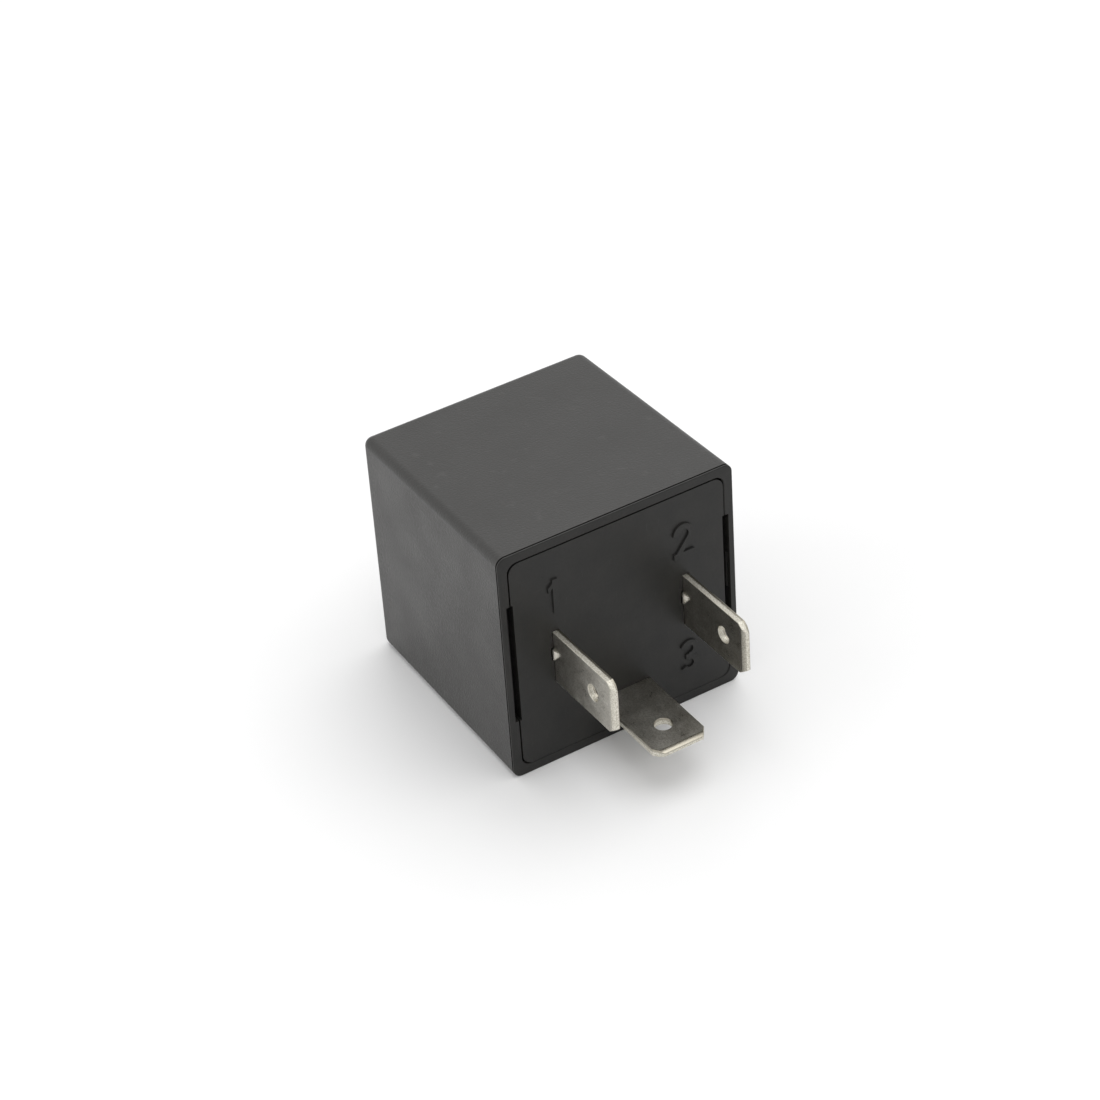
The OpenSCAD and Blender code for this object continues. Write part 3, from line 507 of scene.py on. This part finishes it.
# The cover as one skin of loops, from the middle of its inner end, out over the rim, to its closed end
def coverShell():
    low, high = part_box("cover")
    halfWidth, halfHeight, depth = high.x / mm, high.z / mm, high.y / mm
    wall, lean, edge, end, ease = (cover[k] for k in ("wall", "lean", "edge", "end", "rimEase"))
    loops = []

    def addLoop(y, inset, corner, push=0.0):
        corner = max(corner, cover["leastCorner"])
        points = coverLoop(halfWidth - inset, halfHeight - inset, corner, push)
        loops.append([(x * mm, y * mm, z * mm) for x, z in points])

    def leanAt(y):
        return lean * y / depth

    innerEdge, innerEnd, innerEase = cover["innerEdge"], cover["innerEdge"] * 0.8, cover["innerEase"]
    inDepth = depth - wall
    for i in range(cover["innerSteps"] + 1):  # inner end, from the flat to the wall
        a = math.radians(90 * i / cover["innerSteps"])
        addLoop(inDepth - innerEnd * (1 - math.cos(a)), wall + lean + innerEnd * (1 - math.sin(a)),
                innerEdge - innerEnd * (1 - math.sin(a)) + 0.001)
    slotEnd, slotCut = cover["slotDepth"], cover["slotCut"]
    addLoop(slotEnd + cover["slotRunOut"], wall + leanAt(7), innerEdge)
    addLoop(slotEnd, wall + leanAt(slotEnd), innerEdge)
    addLoop(slotEnd, wall + leanAt(slotEnd), innerEdge, slotCut)
    addLoop(innerEase, wall, innerEdge, slotCut)
    addLoop(0, wall - innerEase, innerEdge + innerEase, slotCut - innerEase)
    for i in range(cover["rimSteps"] + 1):
        a = math.radians(90 * i / cover["rimSteps"])
        addLoop(ease * (1 - math.cos(a)), ease * (1 - math.sin(a)), edge - ease * (1 - math.sin(a)))
    start, slant = ease + cover["partLineAfter"], 0.01
    deep, wide = cover["partLineDeep"], cover["partLineWide"]
    for y, inset in ((0, 0), (slant, deep), (wide, deep), (wide + slant, 0)):
        addLoop(start + y, inset, edge - inset)
    for y in (3, 10, 18):
        addLoop(y, leanAt(y), edge)
    for i in range(cover["endSteps"] + 1):
        a = math.radians(90 * i / cover["endSteps"])
        inward = end * (1 - math.cos(a))
        addLoop(depth - end * (1 - math.sin(a)), lean + inward, edge - inward)
    bm = bmesh.new()
    rings = [[bm.verts.new(p) for p in loop] for loop in loops]
    count = len(rings[0])
    for a, b in zip(rings, rings[1:]):
        for i in range(count):
            j = (i + 1) % count
            bm.faces.new((a[i], a[j], b[j], b[i]))
    bm.faces.new(rings[0])
    bm.faces.new(rings[-1])
    bmesh.ops.remove_doubles(bm, verts=bm.verts, dist=0.001 * mm)
    size = (cover["catchOut"] + cover["catchRoot"], cover["catchDepth"], cover["catchLength"])
    out = halfWidth - wall + slotCut + cover["catchRoot"] / 2 - cover["catchOut"] / 2
    for side in (-1, 1):  # the catch at the mouth of each channel
        where = Matrix.Translation(Vector((side * out, cover["catchAt"], cover["slotCentre"])) * mm)
        bmesh.ops.create_cube(bm, size=mm, matrix=where @ Matrix.Diagonal((*size, 1)))
    bmesh.ops.recalc_face_normals(bm, faces=bm.faces)
    return meshPiece("coverShell", bm)


shell = coverShell()
smoothOver(shell, 40)
fitOut(shell, "cover", finishes["cover_plastic"])
faceMaterial(shell, finishes["base_plastic"], lambda normal: normal.y < -0.25)  # a rim as smooth as the base
print("cover shell made")


stage = {
    "floor": "f2f2f2", "floorSize": 1.6,  # m
    "dim": 0.72, "bright": 0.98, "brightWay": (0.35, 0.78, 0.52),  # a white wall lit behind the object
    "dimUnder": 0.2, "brightOver": 0.95,  # how near to that way a direction points
}
lights = {  # m and W
    "softbox": {"place": (0.2, 0.0, 0.75), "side": 0.8, "power": 2.9},
    "sideFill": {"place": (-0.7, 0.15, 0.3), "side": 0.6, "power": 1.3},
}
low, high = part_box("cover")
tilt = math.atan2(cover["lean"] * mm, high.y)  # the cover lies on its leaning side
bm = bmesh.new()
half = stage["floorSize"] / 2
corners = [bm.verts.new((x * half, y * half, low.z + y * half * math.tan(tilt)))
           for x, y in ((-1, -1), (1, -1), (1, 1), (-1, 1))]
bm.faces.new(corners)
floor = meshPiece("floor", bm)
floorPaint, _, floorShader, _ = newMaterial("pale floor", Roughness=0.4, IOR=1.45)
floorShader.inputs["Base Color"].default_value = hexColour(stage["floor"])
floor.data.materials.append(floorPaint)

world = bpy.data.worlds.new("studio")
scene.world = world
world.use_nodes = True
skyTree = world.node_tree
skyTree.nodes["Background"].inputs["Color"].default_value = (1, 1, 1, 1)
sky = addNode(skyTree, "ShaderNodeTexCoord").outputs["Generated"]
way = addNode(skyTree, "ShaderNodeVectorMath", {0: sky, 1: stage["brightWay"]}, operation="DOT_PRODUCT")
glow = addNode(skyTree, "ShaderNodeMapRange", {
    "Value": way.outputs["Value"], "From Min": stage["dimUnder"], "From Max": stage["brightOver"],
    "To Min": stage["dim"], "To Max": stage["bright"]})
skyTree.links.new(glow.outputs["Result"], skyTree.nodes["Background"].inputs["Strength"])

for name, light in lights.items():
    lampData = bpy.data.lights.new(name, "AREA")
    lampData.size = light["side"]
    lampData.energy = light["power"]
    lamp = bpy.data.objects.new(name, lampData)
    lamp.location = light["place"]
    lamp.rotation_euler = Vector(light["place"]).to_track_quat("Z", "Y").to_euler()
    scene.collection.objects.link(lamp)
scene.view_settings.view_transform = "Standard"
print("floor and light set")
